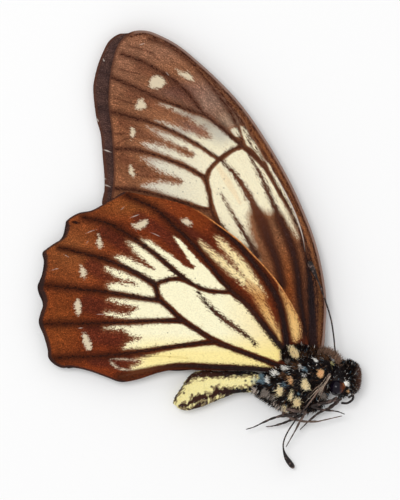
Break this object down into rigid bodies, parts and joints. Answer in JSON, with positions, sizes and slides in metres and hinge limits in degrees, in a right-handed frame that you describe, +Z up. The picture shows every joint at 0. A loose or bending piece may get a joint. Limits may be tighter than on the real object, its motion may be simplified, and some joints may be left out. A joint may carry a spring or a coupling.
{
  "type": "dried butterfly specimen",
  "caption": "Dried butterfly with brown and cream wings folded over its back, lying on its left side, with body, legs and antennae.",
  "frame": {"origin": "centre of the specimen's outline seen from above, at the height of the surface it lies on", "axes": "+Z up from the surface, towards the viewer of the insect's right side; +Y across the folded wings towards the forewing tip; +X from the wings' outer margin towards the head"},
  "size_m": [0.0514, 0.07, 0.0065],
  "materials": {
    "wing_scales": "matt scales, brown with cream panels and dark veins",
    "body_hair": "short black-brown hair with cream spots",
    "abdomen_scales": "matt pale yellow scales with dark marks",
    "eye_gloss": "smooth and glossy, nearly black",
    "leg_cuticle": "dark brown cuticle with a slight sheen"
  },
  "bodies": {
    "root": {"left_hindwing": "wing_scales", "left_forewing": "wing_scales", "right_forewing": "wing_scales", "right_hindwing": "wing_scales", "thorax": "body_hair", "abdomen": "abdomen_scales", "head": "body_hair", "right_palp": "body_hair", "left_palp": "body_hair", "right_eye": "eye_gloss", "left_eye": "eye_gloss", "proboscis": "leg_cuticle", "upper_antenna": "leg_cuticle", "lower_antenna": "leg_cuticle", "right_foreleg": "leg_cuticle", "left_foreleg": "leg_cuticle", "right_midleg": "leg_cuticle", "left_midleg": "leg_cuticle", "right_hindleg": "leg_cuticle", "left_hindleg": "leg_cuticle"}
  },
  "joints": []
}
